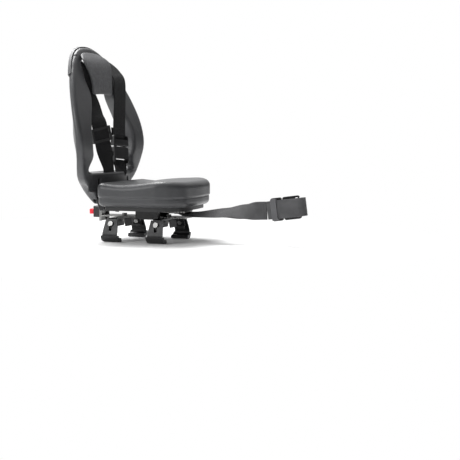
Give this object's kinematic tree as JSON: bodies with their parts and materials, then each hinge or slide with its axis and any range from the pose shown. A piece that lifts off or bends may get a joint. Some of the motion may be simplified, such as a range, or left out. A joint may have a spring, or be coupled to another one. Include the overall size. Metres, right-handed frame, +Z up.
{
  "type": "child bike seat",
  "caption": "Junior rear child seat for a bicycle rack: moulded foam seat and folding open backrest with shoulder harness, quick-release rail, tube clamps and a saddle-post safety strap.",
  "frame": {"origin": "midway between the four hooks, level with the undersides of their shoes", "axes": "+X to the front of the bicycle, +Y to its left, +Z up"},
  "size_m": [0.4966, 0.2832, 0.398],
  "materials": {
    "charcoal_foam": "matte skin of moulded foam with a soft sheen",
    "headboard_plastic": "finely textured moulding",
    "cover_plastic": "satin moulding",
    "black_plastic": "satin moulding",
    "black_steel": "black powder coat",
    "zinc_steel": "zinc plate",
    "red_plastic": "glossy moulding",
    "saddle_rubber": "matte rubber",
    "black_webbing": "flat woven webbing",
    "grey_webbing": "flat woven webbing",
    "slider_plastic": "satin moulding"
  },
  "bodies": {
    "base": {"bracket_screws": "zinc_steel", "button_spring": "zinc_steel", "carrier_rail": "zinc_steel", "clamp_bolts": "zinc_steel", "clamp_nuts": "zinc_steel", "front_centre_bracket": "black_steel", "front_cross_bar": "black_steel", "hinge_bracket": "black_steel", "hinge_pins": "zinc_steel", "hook_nuts": "zinc_steel", "hook_screws": "zinc_steel", "latch_housing": "black_plastic", "latch_plate": "zinc_steel", "rear_centre_bracket": "black_steel", "rear_cross_bar": "black_steel", "runner_block": "black_plastic", "safety_strap": "grey_webbing", "seat_cushion": "charcoal_foam", "seat_pan": "black_plastic", "seat_rail": "zinc_steel", "strap_loop": "grey_webbing", "strap_plug": "black_plastic", "strap_rivet": "zinc_steel", "strap_slider": "slider_plastic", "strap_socket": "black_plastic", "tube_saddles": "saddle_rubber"},
    "backrest": {"backrest_foam": "charcoal_foam", "headboard": "headboard_plastic", "rear_cover": "cover_plastic", "left_hinge_leaf": "black_steel", "right_hinge_leaf": "black_steel", "leaf_screws": "zinc_steel", "right_shoulder_strap": "black_webbing", "strap_glide": "black_plastic", "left_shoulder_strap": "black_webbing", "left_lower_strap": "black_webbing", "harness_socket": "black_plastic", "harness_plug": "black_plastic"},
    "release_button": {"release_button": "red_plastic"},
    "rear_left_hook_body": {"rear_left_hook": "black_steel", "rear_left_shoe": "black_plastic"},
    "rear_right_hook_body": {"rear_right_hook": "black_steel", "rear_right_shoe": "black_plastic"},
    "front_left_hook_body": {"front_left_hook": "black_steel", "front_left_shoe": "black_plastic"},
    "front_right_hook_body": {"front_right_hook": "black_steel", "front_right_shoe": "black_plastic"}
  },
  "joints": [
    {"name": "backrest_fold", "type": "hinge", "parent": "base", "child": "backrest", "pos_m": [-0.094, 0, 0.123], "axis": [0, 1, 0], "range_deg": [0, 55]},
    {"name": "release_button_press", "type": "slide", "parent": "base", "child": "release_button", "axis": [1, 0, 0], "range_m": [0, 0.005], "stiffness_N_per_m": 1500, "deforming": ["button_spring"]},
    {"name": "rear_left_hook_slide", "type": "slide", "parent": "base", "child": "rear_left_hook_body", "axis": [0, -0.342, 0.9397], "range_m": [0, 0.006]},
    {"name": "rear_right_hook_slide", "type": "slide", "parent": "base", "child": "rear_right_hook_body", "axis": [0, 0.342, 0.9397], "range_m": [0, 0.006]},
    {"name": "front_left_hook_slide", "type": "slide", "parent": "base", "child": "front_left_hook_body", "axis": [0, -0.342, 0.9397], "range_m": [0, 0.006]},
    {"name": "front_right_hook_slide", "type": "slide", "parent": "base", "child": "front_right_hook_body", "axis": [0, 0.342, 0.9397], "range_m": [0, 0.006]}
  ]
}
